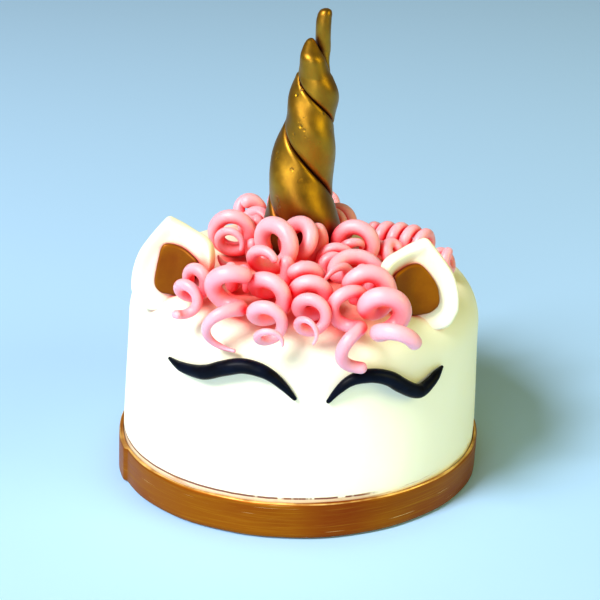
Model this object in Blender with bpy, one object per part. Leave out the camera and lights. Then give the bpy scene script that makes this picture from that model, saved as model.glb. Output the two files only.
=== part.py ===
# Round fondant cake with a unicorn face: gold foot band, two closed-eye lashes,
# two ears with gold inner ears, a horn of two twisted gold strands and a mane
# of rolled fondant curls. All sizes below are millimetres. The origin is the
# middle of the cake's foot, +Z is up and the face looks toward -Y.

import math

import bmesh
import bpy
import numpy as np

MM = 0.001
GAP = 0.35
DOME_LIFT = 0.65

# Cake body
CAKE_HEIGHT = 93.0
EDGE_RADIUS = 24.0
WALL_RADIUS_FOOT = 78.0
WALL_RADIUS_MIDDLE = 77.2
WALL_RADIUS_TOP = 76.2
LEAN_SIDEWAYS = 0.04
TOP_TILT = 0.035

# Band round the foot
BAND_HEIGHT = 16.5
BAND_THICKNESS = 2.9
BAND_FLOOR_CLEARANCE = 0.8

# Horn: two strands twisted together, half an oval each. Near the top both turn
# round: the second ends against the first, which goes on alone as a thin rod.
HORN_Y = 4.0
HORN_SPLIT = 0.7
HORN_OVAL = 0.86
HORN_ROUNDING = 5.5
HORN_LEVELS = (93.0, 113.0, 127.0, 134.0, 148.0, 158.0, 169.0, 176.0, 190.0)
HORN_RADII = (17.8, 17.0, 15.1, 14.0, 12.8, 11.2, 9.9, 7.8, 4.0)
HORN_CENTRES = (-2.0, -2.8, -3.9, -3.7, -2.2, -0.8, -0.1, -0.6, -0.8)
TWIST_LEVELS = (93.0, 120.4, 152.4, 175.5, 182.0, 189.0, 201.0)
TWIST_DEGREES = (668.0, 540.0, 360.0, 180.0, 142.0, 105.0, 105.0)
ROUND_FROM = 173.0
ROUND_TO = 183.0
STRAND_ENDS = {
    "long": {"side": 1.0, "level": (172.0, 182.0, 185.0, 189.0, 192.0, 197.0, 199.5, 200.6, 201.0),
             "x": (3.0, 2.8, 2.7, 2.5, 2.4, 2.5, 2.9, 3.1, 3.2),
             "y": (10.0, 7.9, 6.9, 5.8, 5.2, 5.0, 5.0, 5.0, 5.0),
             "radius": (3.5, 3.3, 3.3, 3.2, 3.2, 3.1, 2.7, 1.9, 1.0)},
    "short": {"side": -1.0, "level": (172.0, 178.0, 181.5, 184.5, 187.0, 188.3, 188.7),
              "x": (-1.0, -1.5, -2.0, -2.6, -2.7, -2.6, -2.5),
              "y": (-1.5, -0.7, 0.0, 1.6, 3.0, 3.5, 3.6),
              "radius": (6.2, 5.9, 5.1, 3.6, 2.3, 1.3, 0.7)},
}

# Ears: outline in the ear's own plane, outward and up from the foot of the ear
EAR_OUTLINE = ((8.5, -7.0), (13.8, -0.5), (14.5, 5.0), (13.8, 11.0), (12.0, 16.8), (9.3, 21.5),
               (6.0, 26.2), (3.0, 30.1), (1.4, 31.7), (0.0, 31.3), (-7.8, 27.9), (-16.4, 24.8),
               (-19.5, 20.0), (-19.3, 12.0), (-14.5, 3.0), (-9.0, -7.0))
EAR_THICKNESS = 5.6
EAR_FOLD = 0.30
EAR_FOLD_AT = -5.5
EAR_FOLD_SOFT = 2.0
INNER_EAR_THICKNESS = 1.8
EARS = {
    "left": {
        "foot": (-58.0, -31.0, 88.0), "side": -1.0, "facing": -18.0, "back": 4.0,
        "leaf": ((-0.8, 0.6), (2.0, 1.2), (4.1, 3.4), (4.6, 6.2), (4.2, 10.0), (3.4, 15.0),
                 (2.5, 19.6), (0.4, 21.4), (-5.0, 20.6), (-10.4, 18.0), (-13.6, 15.2),
                 (-13.0, 9.0), (-6.5, 0.8))},
    "right": {
        "foot": (44.0, -47.5, 88.0), "side": 1.0, "facing": 20.0, "back": 4.0,
        "leaf": ((-0.3, 0.5), (2.8, 1.6), (5.2, 4.2), (5.4, 8.2), (4.0, 13.4), (0.8, 18.4),
                 (-2.6, 21.7), (-6.4, 21.9), (-10.9, 20.5), (-14.8, 17.6), (-13.5, 9.0),
                 (-7.0, 0.8))},
}

# Lashes: angle from the middle of the face and height, from the inner end out
LASHES = {
    "left": ((-5.0, 61.7), (-8.5, 67.1), (-12.3, 71.3), (-16.4, 73.4), (-21.2, 73.7),
             (-26.7, 71.3), (-31.5, 68.4), (-36.1, 67.2), (-41.9, 66.9), (-47.4, 67.6)),
    "right": ((4.9, 60.6), (7.4, 65.3), (10.2, 69.0), (13.6, 70.9), (18.0, 71.1), (22.8, 69.0),
              (26.9, 65.1), (31.0, 61.8), (34.2, 60.8), (38.0, 62.8), (41.4, 65.4), (44.3, 66.7)),
}
LASH_RADII = ((0.0, 0.9), (0.12, 1.9), (0.30, 2.8), (0.5, 3.25), (0.7, 3.0), (0.88, 2.0),
              (1.0, 0.7))

# Rolled curls that the face side shows. Each is a rope wound round a bent path:
# the path's start, middle and end, the coil's radius along it, the angle at
# which the coil starts, its turns, and the rope's radius along it.
FRONT_CURLS = {
    "curl_spiral_left": {
        "path": ((-31.5, 0.0, 106.0), (-31.5, -4.0, 105.5), (-33.0, -14.5, 103.0)),
        "coil": (10.0, 7.0, 4.5), "start": -70.0, "turns": -2.1, "rope": (3.2, 3.5, 1.0)},
    "curl_front_of_horn": {
        "path": ((-13.0, -25.0, 108.0), (-19.0, -32.5, 110.0), (-18.5, -50.5, 107.0)),
        "coil": (8.5, 8.5, 4.0), "start": 105.0, "turns": -1.4, "rope": (3.4, 4.3, 1.6)},
    "curl_front_of_horn_right": {
        "path": ((-3.0, -17.5, 107.5), (-2.0, -19.5, 107.0), (-6.5, -22.5, 108.5)),
        "coil": (7.5, 9.0, 6.0), "start": -60.0, "turns": -1.25, "rope": (3.4, 3.7, 3.1)},
    "curl_by_left_ear": {
        "path": ((-46.0, -44.0, 98.5), (-49.5, -51.5, 99.5), (-51.5, -68.0, 90.5)),
        "coil": (4.5, 5.5, 3.0), "start": 100.0, "turns": -2.15, "rope": (2.5, 2.8, 1.6)},
    "curl_brow_left": {
        "path": ((-32.7, -58.1, 105.6), (-36.7, -65.1, 97.1), (-35.2, -77.1, 83.1)),
        "coil": (6.5, 5.5, 7.5), "start": -70.0, "turns": 1.8, "rope": (3.3, 4.3, 0.7)},
    "curl_brow_middle_left": {
        "path": ((-16.0, -46.5, 104.9), (-20.5, -77.0, 94.9), (-17.0, -91.0, 89.4)),
        "coil": (6.0, 6.5, 4.0), "start": -60.0, "turns": -3.1, "rope": (3.1, 3.9, 0.6)},
    "curl_brow_middle": {
        "path": ((-4.7, -52.5, 104.0), (2.8, -65.5, 98.0), (-4.7, -90.0, 92.5)),
        "coil": (5.0, 7.0, 4.0), "start": 57.0, "turns": -3.5, "rope": (3.1, 3.9, 0.6)},
    "curl_right_of_middle": {
        "path": ((10.3, -22.1, 100.5), (9.3, -26.6, 100.0), (9.3, -29.6, 100.0)),
        "coil": (7.0, 2.5, 4.5), "start": -60.0, "turns": 1.5, "rope": (2.4, 2.6, 2.5)},
    "curl_right_of_horn": {
        "path": ((19.5, -12.5, 104.5), (18.5, -16.0, 105.5), (20.0, -17.5, 104.0)),
        "coil": (7.5, 9.0, 2.0), "start": 95.0, "turns": -1.45, "rope": (3.2, 3.9, 1.0)},
    "curl_above_brow_right": {
        "path": ((22.5, -32.5, 97.5), (7.0, -44.0, 112.5), (8.0, -54.5, 102.0)),
        "coil": (6.5, 4.0, 5.5), "start": -45.0, "turns": 1.25, "rope": (3.2, 3.7, 0.8)},
    "curl_brow_right": {
        "path": ((20.0, -61.0, 103.0), (27.5, -78.0, 105.0), (31.0, -90.5, 90.0)),
        "coil": (7.0, 5.0, 6.5), "start": 70.0, "turns": -2.35, "rope": (3.6, 4.4, 3.0)},
    "curl_brow_long": {
        "path": ((14.3, -62.0, 103.3), (8.3, -77.5, 96.8), (17.3, -87.5, 79.8)),
        "coil": (6.0, 4.5, 5.5), "start": -170.0, "turns": 2.1, "rope": (2.5, 3.0, 2.4)},
    "curl_behind_horn_right": {
        "path": ((15.5, 25.5, 102.5), (14.0, 20.0, 103.0), (11.5, 16.0, 103.5)),
        "coil": (6.0, 6.0, 5.0), "start": 85.0, "turns": -1.45, "rope": (3.0, 3.0, 2.4)},
    "curl_behind_horn_left": {
        "path": ((-20.5, 23.5, 100.5), (-22.5, 18.5, 102.0), (-23.5, 10.5, 101.5)),
        "coil": (5.5, 5.5, 4.0), "start": 105.0, "turns": -1.4, "rope": (3.1, 3.1, 2.2)},
    "curl_back_right_long": {
        "path": ((29.5, 12.0, 100.5), (41.5, 5.5, 102.0), (51.5, 0.0, 101.0)),
        "coil": (4.0, 6.0, 5.0), "start": -10.0, "turns": -4.25, "rope": (2.7, 2.7, 2.3)},
    "curl_by_right_ear": {
        "path": ((29.5, -7.0, 96.5), (35.5, -10.0, 101.5), (36.5, -11.0, 102.5)),
        "coil": (5.0, 4.8, 2.5), "start": 35.0, "turns": -1.3, "rope": (3.1, 3.2, 2.2)},
    "curl_behind_right_ear": {
        "path": ((57.0, -11.5, 97.5), (57.5, -12.5, 98.0), (61.0, -14.5, 100.0)),
        "coil": (4.0, 4.5, 4.0), "start": 20.0, "turns": -1.0, "rope": (2.4, 2.5, 2.1)},
    "curl_tip_left": {
        "path": ((-36.5, -29.3, 104.4), (-34.5, -32.3, 101.9), (-32.0, -36.3, 96.4)),
        "coil": (2.0, 3.0, 3.0), "start": 120.0, "turns": 0.45, "rope": (0.5, 2.0, 2.8)},
}

# Curls that the face side hides, by where each lies: low ones between the front
# curls, ones on the back of the top, and ones that hang down the back wall
LOW_CURLS = {
    "curl_under_brow_left": {"x": -30.0, "y": -44.0, "heading": 0.0, "start": 20.0, "turns": 1.3},
    "curl_under_middle": {"x": -5.5, "y": -38.0, "heading": 0.0, "start": 98.0, "turns": 1.15},
    "curl_under_brow_right": {"x": 23.0, "y": -43.5, "heading": 0.0, "start": 3.0, "turns": -1.3},
    "curl_under_spiral": {"x": -20.5, "y": -14.0, "heading": 20.0, "start": -30.0, "turns": -1.2},
}
BACK_CURLS = {
    "curl_back_1": {"x": -8.5, "y": 29.0, "drop": 1.5, "start": 85.0, "turns": 1.8},
    "curl_back_2": {"x": 8.0, "y": 31.0, "drop": 1.5, "start": -55.0, "turns": -2.0},
    "curl_back_3": {"x": -24.5, "y": 37.0, "drop": 1.5, "start": -15.0, "turns": 2.0},
    "curl_back_4": {"x": -8.5, "y": 55.5, "drop": 9.0, "start": 15.0, "turns": 2.0},
    "curl_back_5": {"x": 10.5, "y": 55.5, "drop": 9.0, "start": -45.0, "turns": -1.9},
}
HANGING_CURLS = {
    "curl_hanging_back_1": {"angle": 175.0, "top": 76.0, "sway": 8.0, "start": 15.0, "turns": 3.0},
    "curl_hanging_back_2": {"angle": 161.0, "top": 78.0, "sway": -9.0, "start": 95.0, "turns": -3.0},
    "curl_hanging_back_3": {"angle": 140.0, "top": 74.0, "sway": 7.0, "start": 5.0, "turns": 2.5},
    "curl_hanging_back_4": {"angle": 194.0, "top": 78.0, "sway": 9.0, "start": 90.0, "turns": -3.0},
    "curl_hanging_back_5": {"angle": 211.0, "top": 72.0, "sway": 8.0, "start": -10.0, "turns": 2.3},
}


def lean(points):
    """The whole cake leans a little to one side and its top tilts with it."""
    points = np.asarray(points, float)
    x, y, z = points[..., 0], points[..., 1], points[..., 2]
    share = np.clip(z / CAKE_HEIGHT, 0.0, 1.3)
    return np.stack([x + LEAN_SIDEWAYS * z, y, z - TOP_TILT * x * share], -1)


def wall_radius(z):
    """Radius of the cake's wall, and of its rounded top edge, at a height."""
    z = np.asarray(z, float)
    centre = CAKE_HEIGHT - EDGE_RADIUS
    radii = (WALL_RADIUS_FOOT, WALL_RADIUS_FOOT, WALL_RADIUS_MIDDLE, WALL_RADIUS_TOP)
    side = np.interp(z, (0.0, 24.0, 45.0, centre), radii)
    rise = np.clip(z - centre, 0.0, EDGE_RADIUS)
    arc = WALL_RADIUS_TOP - EDGE_RADIUS + np.sqrt(EDGE_RADIUS ** 2 - rise ** 2)
    return np.where(z > centre, arc, side)


def above_cake(points):
    """Distance of points from the cake's surface, positive outside it."""
    radius = np.hypot(points[..., 0], points[..., 1])
    z = points[..., 2]
    level = CAKE_HEIGHT - EDGE_RADIUS
    out = radius - (WALL_RADIUS_TOP - EDGE_RADIUS)
    up = z - level
    edge = np.hypot(out, up) - EDGE_RADIUS
    flat = np.maximum(z - CAKE_HEIGHT, radius - wall_radius(np.clip(z, 0.0, level)))
    return np.where((out > 0.0) & (up > 0.0), edge, flat)


def smooth_curve(knots, count):
    """Points evenly spread along a Catmull-Rom curve through the knots."""
    knots = np.asarray(knots, float)
    ends = np.vstack([2 * knots[0] - knots[1], knots, 2 * knots[-1] - knots[-2]])
    spans = len(knots) - 1
    place = np.linspace(0.0, spans, count)
    span = np.minimum(place.astype(int), spans - 1)
    t = (place - span)[:, None]
    a, b, c, d = (ends[span + k] for k in range(4))
    return 0.5 * (2 * b + (c - a) * t + (2 * a - 5 * b + 4 * c - d) * t ** 2
                  + (3 * b - 3 * c + d - a) * t ** 3)


def material(name, colour, roughness, metallic=0.0):
    made = bpy.data.materials.new(name)
    made.use_nodes = True
    shader = made.node_tree.nodes["Principled BSDF"]
    shader.inputs["Base Color"].default_value = (*colour, 1.0)
    shader.inputs["Roughness"].default_value = roughness
    shader.inputs["Metallic"].default_value = metallic
    return made


def add_object(name, points, faces, look):
    """One closed mesh object from points in millimetres."""
    mesh = bpy.data.meshes.new(name)
    mesh.from_pydata((np.asarray(points) * MM).tolist(), [], faces)
    made = bpy.data.objects.new(name, mesh)
    bpy.context.scene.collection.objects.link(made)
    bm = bmesh.new()
    bm.from_mesh(mesh)
    bmesh.ops.recalc_face_normals(bm, faces=bm.faces)
    bm.to_mesh(mesh)
    bm.free()
    for face in mesh.polygons:
        face.use_smooth = True
    mesh.materials.append(look)
    return made


def skin(rings, start=None, end=None):
    """Faces over a stack of rings of points; a pole or a flat cap closes each end."""
    count = len(rings[0])
    points = [point for ring in rings for point in ring]
    faces = []
    for k in range(len(rings) - 1):
        for i in range(count):
            j = (i + 1) % count
            a, b = k * count, (k + 1) * count
            faces.append((a + i, a + j, b + j, b + i))
    for pole, base, flip in ((start, 0, True), (end, (len(rings) - 1) * count, False)):
        middle = np.mean(rings[0 if flip else -1], axis=0) if pole is None else pole
        points.append(middle)
        tip = len(points) - 1
        for i in range(count):
            j = (i + 1) % count
            faces.append((base + j, base + i, tip) if flip else (base + i, base + j, tip))
    return np.array(points), faces


def rope(centres, radii, sides):
    """Round rope along a curve with dome ends; its section turns with the curve."""
    centres = np.asarray(centres, float)
    along = np.gradient(centres, axis=0)
    along /= np.linalg.norm(along, axis=1)[:, None]
    side = np.cross(along[0], (0.0, 0.0, 1.0))
    if np.linalg.norm(side) < 0.1:
        side = np.cross(along[0], (0.0, 1.0, 0.0))
    angles = np.linspace(0.0, 2 * math.pi, sides, endpoint=False)
    circles = []
    for direction in along:
        side = side - (side @ direction) * direction
        side /= np.linalg.norm(side)
        other = np.cross(direction, side)
        circles.append(np.outer(np.cos(angles), side) + np.outer(np.sin(angles), other))
    width = math.sqrt(1 - DOME_LIFT ** 2)
    rings = [centres[0] + radii[0] * (circles[0] * width - along[0] * DOME_LIFT)]
    rings += [c + circle * r for c, circle, r in zip(centres, circles, radii)]
    rings.append(centres[-1] + radii[-1] * (circles[-1] * width + along[-1] * DOME_LIFT))
    start = centres[0] - along[0] * radii[0]
    end = centres[-1] + along[-1] * radii[-1]
    return skin(rings, start, end)


def blend(values, t):
    """Quadratic blend of a start, a middle and an end value."""
    values = np.asarray(values, float)
    if values.ndim > 1:
        t = t[:, None]
    return (1 - t) ** 2 * values[0] + 2 * t * (1 - t) * values[1] + t ** 2 * values[2]


def coil(path, ring, start, turns, count):
    """Centreline wound round a bent path; ring holds its radius along the path."""
    t = np.linspace(0.0, 1.0, count)
    path = np.asarray(path, float)
    axis = blend(path, t)
    along = 2 * (1 - t)[:, None] * (path[1] - path[0]) + 2 * t[:, None] * (path[2] - path[1])
    along /= np.linalg.norm(along, axis=1)[:, None]
    up = np.array((0.0, 0.0, 1.0)) - along[:, 2:] * along
    up /= np.linalg.norm(up, axis=1)[:, None]
    side = np.cross(along, up)
    angle = math.radians(start) + 2 * math.pi * turns * t
    reach = blend(ring, t)[:, None]
    return axis + reach * (np.cos(angle)[:, None] * up + np.sin(angle)[:, None] * side)


def revolve(profile, sides):
    """Closed solid of revolution from (radius, height) pairs, foot to top."""
    angles = np.linspace(0.0, 2 * math.pi, sides, endpoint=False)
    rings = [np.stack([r * np.cos(angles), r * np.sin(angles), np.full(sides, z)], -1)
             for r, z in profile]
    return skin(rings)


def cake_profile(grow=0.0):
    """Foot, wall, rounded edge and top of the cake, moved outward by grow."""
    profile = [(WALL_RADIUS_FOOT + grow, -grow), (WALL_RADIUS_FOOT + grow, 12.0)]
    profile += [(float(wall_radius(z)) + grow, z) for z in (24.0, 45.0, 58.0, 69.0)]
    for step in range(1, 9):
        angle = math.radians(step * 11.25)
        reach = WALL_RADIUS_TOP - EDGE_RADIUS + (EDGE_RADIUS + grow) * math.cos(angle)
        profile.append((reach, CAKE_HEIGHT - EDGE_RADIUS + (EDGE_RADIUS + grow) * math.sin(angle)))
    profile.append((26.0, CAKE_HEIGHT + grow))
    return profile


def between(z, levels, values):
    """Smooth value at a height, from values given at some levels."""
    slopes = np.gradient(np.array(values), np.array(levels))
    k = int(np.clip(np.searchsorted(levels, z) - 1, 0, len(levels) - 2))
    step = levels[k + 1] - levels[k]
    t = float(np.clip((z - levels[k]) / step, 0.0, 1.0))
    rise = values[k] + (values[k + 1] - values[k]) * t * t * (3 - 2 * t)
    return rise + step * t * (1 - t) * (slopes[k] * (1 - t) - slopes[k + 1] * t)


def strand_section(width, cut, sides):
    """Outline of a strand: an oval cut by a plane at a distance from the horn's axis."""
    middle = (cut + width) / 2
    angles = np.linspace(0.0, 2 * math.pi, sides, endpoint=False)
    ahead, across = np.cos(angles), np.sin(angles)
    bend = (ahead / width) ** 2 + (across / (HORN_OVAL * width)) ** 2
    slope = middle * ahead / width ** 2
    to_oval = (np.sqrt(slope ** 2 + bend * (1 - (middle / width) ** 2)) - slope) / bend
    to_cut = (middle - cut) / np.maximum(-ahead, 1e-6)
    reach = (to_oval ** -HORN_ROUNDING + to_cut ** -HORN_ROUNDING) ** (-1 / HORN_ROUNDING)
    return middle + reach * ahead, reach * across


def horn_strand(which, levels, sides):
    """Rings of one strand: half an oval that turns with height, and round at its end."""
    end = STRAND_ENDS[which]
    angles = np.linspace(0.0, 2 * math.pi, sides, endpoint=False)
    rings = []
    for z in levels:
        width = between(z, HORN_LEVELS, HORN_RADII)
        centre = between(z, HORN_LEVELS, HORN_CENTRES)
        turn = math.radians(between(z, TWIST_LEVELS, TWIST_DEGREES) - 90.0)
        ahead = np.array((math.cos(turn), math.sin(turn))) * end["side"]
        across = np.array((-ahead[1], ahead[0]))
        reach, wide = strand_section(width, HORN_SPLIT / 2, sides)
        half = np.array((centre, HORN_Y)) + np.outer(reach, ahead) + np.outer(wide, across)
        x, y, radius = (between(z, end["level"], end[key]) for key in ("x", "y", "radius"))
        circle = np.outer(np.cos(angles), ahead) + np.outer(np.sin(angles), across)
        share = between(z, (ROUND_FROM, ROUND_TO), (0.0, 1.0))
        spots = (1 - share) * half + share * (np.array((x, y)) + radius * circle)
        rings.append(np.column_stack([spots, np.full(sides, z)]))
    return rings


def closed_curve(knots, count):
    """Evenly spread points round a closed smooth curve through flat knots."""
    knots = np.asarray(knots, float)
    t = np.linspace(0.0, 1.0, 12, endpoint=False)[:, None]
    dense = []
    for k in range(len(knots)):
        a, b, c, d = (knots[(k + step) % len(knots)] for step in range(4))
        dense.append(0.5 * (2 * b + (c - a) * t + (2 * a - 5 * b + 4 * c - d) * t ** 2
                            + (3 * b - 3 * c + d - a) * t ** 3))
    dense = np.concatenate(dense + [dense[0][:1]])
    steps = np.concatenate([[0.0], np.cumsum(np.linalg.norm(np.diff(dense, axis=0), axis=1))])
    places = np.linspace(0.0, steps[-1], count, endpoint=False)
    return np.stack([np.interp(places, steps, dense[:, k]) for k in (0, 1)], -1)


def ear_point(ear, a, b, n):
    """Place a point of the ear's own plane; both sides of the ear fold forward from a crease."""
    turn, tilt = math.radians(ear["facing"]), math.radians(ear["back"])
    fold = math.hypot(a - EAR_FOLD_AT, EAR_FOLD_SOFT) - EAR_FOLD_SOFT
    n = n + EAR_FOLD * fold - 0.6 * abs(b / 30.0)
    front = np.array((math.sin(turn), -math.cos(turn), 0.0))
    across = np.array((math.cos(turn), math.sin(turn), 0.0)) * ear["side"]
    up = np.array((0.0, 0.0, 1.0))
    raised = up * math.cos(tilt) - front * math.sin(tilt)
    facing_out = front * math.cos(tilt) + up * math.sin(tilt)
    return np.array(ear["foot"]) + across * a + raised * b + facing_out * n


def ear_slab(ear, outline, low, high, insets):
    """Rounded slab with the given outline between two depths."""
    middle = np.array((EAR_FOLD_AT, outline[:, 1].mean()))
    rings = []
    for share, depth in insets:
        shrink = 1.0 - share
        rings.append(np.array([ear_point(ear, *(middle + (spot - middle) * shrink),
                                         low + (high - low) * depth) for spot in outline]))
    start = ear_point(ear, *middle, low)
    end = ear_point(ear, *middle, high)
    return skin(rings, start, end)


def lash_line(knots, count):
    """Centreline of a lash laid on the wall, and its half thickness."""
    knots = smooth_curve(knots, count)
    share = np.linspace(0.0, 1.0, count)
    radii = np.interp(share, *zip(*LASH_RADII))
    angle = np.radians(knots[:, 0])
    reach = wall_radius(knots[:, 1]) + radii + GAP
    line = np.stack([reach * np.sin(angle), -reach * np.cos(angle), knots[:, 1]], -1)
    return line, radii


def low_curl(x, y, heading, start, turns):
    """Short curl across the top, low between the front curls."""
    turned = math.radians(heading)
    ahead, aside = 4.0 * math.cos(turned), 4.0 * math.sin(turned)
    path = ((x - ahead, y - aside, 100.5), (x, y, 99.5), (x + ahead, y + aside, 98.5))
    return {"path": path, "coil": (3.8, 3.8, 3.8), "start": start, "turns": turns,
            "rope": (2.5, 2.5, 1.9)}


def back_curl(x, y, drop, start, turns):
    """Curl that runs backward over the top and comes down by drop at its end."""
    path = ((x, y, 102.0), (x, y + 8.0, 101.5 - 0.2 * drop), (x, y + 17.0, 101.0 - drop))
    return {"path": path, "coil": (5.0, 4.8, 4.2), "start": start, "turns": turns,
            "rope": (3.0, 3.0, 1.5)}


def hanging_curl(angle, top, sway, start, turns):
    """Curl that hangs down the wall at an angle round the cake and swings sideways by sway."""
    path = []
    for step, reach in enumerate((86.0, 88.5, 85.0)):
        around = math.radians(angle + sway * step / 2)
        height = top - 15.0 * step
        path.append((reach * math.sin(around), -reach * math.cos(around), height))
    return {"path": path, "coil": (6.3, 6.0, 4.0), "start": start, "turns": turns,
            "rope": (3.2, 3.3, 0.8)}


def all_curls():
    """Every curl of the mane by name."""
    found = dict(FRONT_CURLS)
    found.update((name, low_curl(**place)) for name, place in LOW_CURLS.items())
    found.update((name, back_curl(**place)) for name, place in BACK_CURLS.items())
    found.update((name, hanging_curl(**place)) for name, place in HANGING_CURLS.items())
    return found


def curl_line(curl, count):
    line = coil(curl["path"], curl["coil"], curl["start"], curl["turns"], count)
    return line, blend(curl["rope"], np.linspace(0.0, 1.0, count))


def cut_by_cake(made, cutter):
    cut = made.modifiers.new("seat", "BOOLEAN")
    cut.operation = "DIFFERENCE"
    cut.object = cutter


def main():
    for old in list(bpy.data.objects):
        bpy.data.objects.remove(old)
    white = material("fondant_white", (0.93, 0.91, 0.84), 0.45)
    gold = material("gold_painted", (0.62, 0.36, 0.07), 0.33, 0.9)
    black = material("fondant_black", (0.012, 0.013, 0.02), 0.3)
    pink = material("fondant_pink", (0.95, 0.5, 0.55), 0.4)

    points, faces = revolve(cake_profile(), 44)
    add_object("cake", lean(points), faces, white)
    points, faces = revolve(cake_profile(GAP), 44)
    cutter = add_object("cake_cutter", lean(points), faces, white)
    cutter.hide_render = True
    cutter.display_type = "WIRE"

    inner = WALL_RADIUS_FOOT + GAP
    foot, top = BAND_FLOOR_CLEARANCE, BAND_HEIGHT
    section = ((inner, foot), (inner + BAND_THICKNESS, foot),
               (inner + BAND_THICKNESS, top - 0.8), (inner + BAND_THICKNESS - 0.8, top),
               (inner, top))
    angles = np.linspace(0.0, 2 * math.pi, 64, endpoint=False)
    points = [(r * math.cos(a), r * math.sin(a), z) for a in angles for r, z in section]
    faces = []
    for i in range(64):
        j = (i + 1) % 64
        for k in range(5):
            m = (k + 1) % 5
            faces.append((i * 5 + k, j * 5 + k, j * 5 + m, i * 5 + m))
    add_object("gold_band", lean(np.array(points)), faces, gold)

    for side, knots in LASHES.items():
        line, radii = lash_line(knots, 22)
        points, faces = rope(line, radii, 8)
        add_object("lash_" + side, lean(points), faces, black)

    outline = closed_curve(EAR_OUTLINE, 26)
    half = EAR_THICKNESS / 2
    for side, ear in EARS.items():
        rounded = ((0.55, 0.0), (0.12, 0.0), (0.0, 0.28), (0.0, 0.72), (0.12, 1.0), (0.55, 1.0))
        points, faces = ear_slab(ear, outline, -half, half, rounded)
        made = add_object("ear_" + side, lean(points), faces, white)
        cut_by_cake(made, cutter)
        small = closed_curve(ear["leaf"], 22)
        flat = ((0.02, 0.0), (0.0, 0.7), (0.1, 1.0), (0.5, 1.0))
        points, faces = ear_slab(ear, small, half + 0.5, half + 0.5 + INNER_EAR_THICKNESS, flat)
        made = add_object("inner_ear_" + side, lean(points), faces, gold)
        cut_by_cake(made, cutter)

    for which, end in STRAND_ENDS.items():
        levels = np.append(np.linspace(CAKE_HEIGHT + GAP, 176.0, 29),
                           np.linspace(178.0, end["level"][-1], 12))
        points, faces = skin(horn_strand(which, levels, 12))
        add_object("horn_strand_" + which, lean(points), faces, gold)

    for name, curl in all_curls().items():
        count = max(8, int(round(abs(curl["turns"]) * 10)))
        line, radii = curl_line(curl, count)
        points, faces = rope(line, radii, 6)
        add_object(name, lean(points), faces, pink)


if __name__ == "__main__":
    main()
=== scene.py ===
# Looks of the unicorn cake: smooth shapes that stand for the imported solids, the
# fondant's and the gold's finish, a pale floor, soft light and the camera.
# Shapes are worked out in millimetres and degrees, for a cake that stands
# straight, then leaned a little and written in metres. +Z is up and the face
# looks toward -Y.

import math

import bpy
import numpy as np
from mathutils import Matrix, Vector, noise


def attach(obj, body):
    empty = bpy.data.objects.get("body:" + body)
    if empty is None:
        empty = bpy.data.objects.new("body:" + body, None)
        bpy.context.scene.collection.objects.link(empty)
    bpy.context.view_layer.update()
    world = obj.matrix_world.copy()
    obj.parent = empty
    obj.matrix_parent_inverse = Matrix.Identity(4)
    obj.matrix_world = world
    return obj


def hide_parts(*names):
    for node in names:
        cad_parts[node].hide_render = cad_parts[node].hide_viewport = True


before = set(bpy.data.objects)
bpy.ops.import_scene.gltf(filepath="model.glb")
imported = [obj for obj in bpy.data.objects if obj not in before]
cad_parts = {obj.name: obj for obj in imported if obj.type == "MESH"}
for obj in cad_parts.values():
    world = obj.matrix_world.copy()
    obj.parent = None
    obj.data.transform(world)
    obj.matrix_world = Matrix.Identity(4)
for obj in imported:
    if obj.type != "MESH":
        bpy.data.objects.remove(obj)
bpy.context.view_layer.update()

MM = 0.001

# Room between pieces that touch
GAP = 0.35

# Cake body: upright to a level, drawn in a little above it, then a rounded edge
CAKE_HEIGHT = 93.0
EDGE_RADIUS = 24.0
EDGE_LEVEL = CAKE_HEIGHT - EDGE_RADIUS
UPRIGHT_LEVEL = 24.0
MIDDLE_LEVEL = 45.0
WALL_RADIUS_FOOT = 78.0
WALL_RADIUS_MIDDLE = 77.2
WALL_RADIUS_TOP = 76.2
LEAN_SIDEWAYS = 0.04
TOP_TILT = 0.035
CAKE_SIDES = 160
LUMP_SIZE = 38.0
LUMP_DEPTH = 0.35

# Band round the foot. Its end rises over its start just before the seam. Waves
# make its face and its top edge uneven: height, how many round the cake, phase.
# The top edge lies lower than the band's height by the room that its waves need.
BAND_HEIGHT = 16.5
BAND_TOP_ROOM = 0.35
BAND_THICKNESS = 2.9
BAND_FLOOR_CLEARANCE = 0.8
BAND_SEAM = -70.0
BAND_LAP = 1.1
BAND_LAP_FROM = 345.0
BAND_LAP_RISE = 13.0
BAND_FACE_WAVES = ((0.12, 7, 1.0), (0.10, 17, 0.0))
BAND_TOP_WAVES = ((0.22, 3, 0.6), (0.12, 11, 0.0))

# Horn: two strands twisted together, half an oval each. Near the top both turn
# round: the second ends against the first, which goes on alone as a thin rod.
# The horn's levels go with its half width and the x of its middle. Its rounding
# is a power that blends oval and cut: the higher it is, the sharper the crease.
HORN_Y = 4.0
HORN_SPLIT = 0.2
HORN_OVAL = 0.86
HORN_ROUNDING = 9.0
HORN_LEVELS = (93.0, 113.0, 127.0, 134.0, 148.0, 158.0, 169.0, 176.0, 190.0)
HORN_RADII = (17.8, 17.0, 15.1, 14.0, 12.8, 11.2, 9.9, 7.8, 4.0)
HORN_CENTRES = (-2.0, -2.8, -3.9, -3.7, -2.2, -0.8, -0.1, -0.6, -0.8)
TWIST_LEVELS = (93.0, 120.4, 152.4, 175.5, 182.0, 189.0, 201.0)
TWIST_DEGREES = (668.0, 540.0, 360.0, 180.0, 142.0, 105.0, 105.0)
HORN_RINGS = 240
HORN_SIDES = 48
ROUND_FROM = 173.0
ROUND_TO = 183.0
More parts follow.
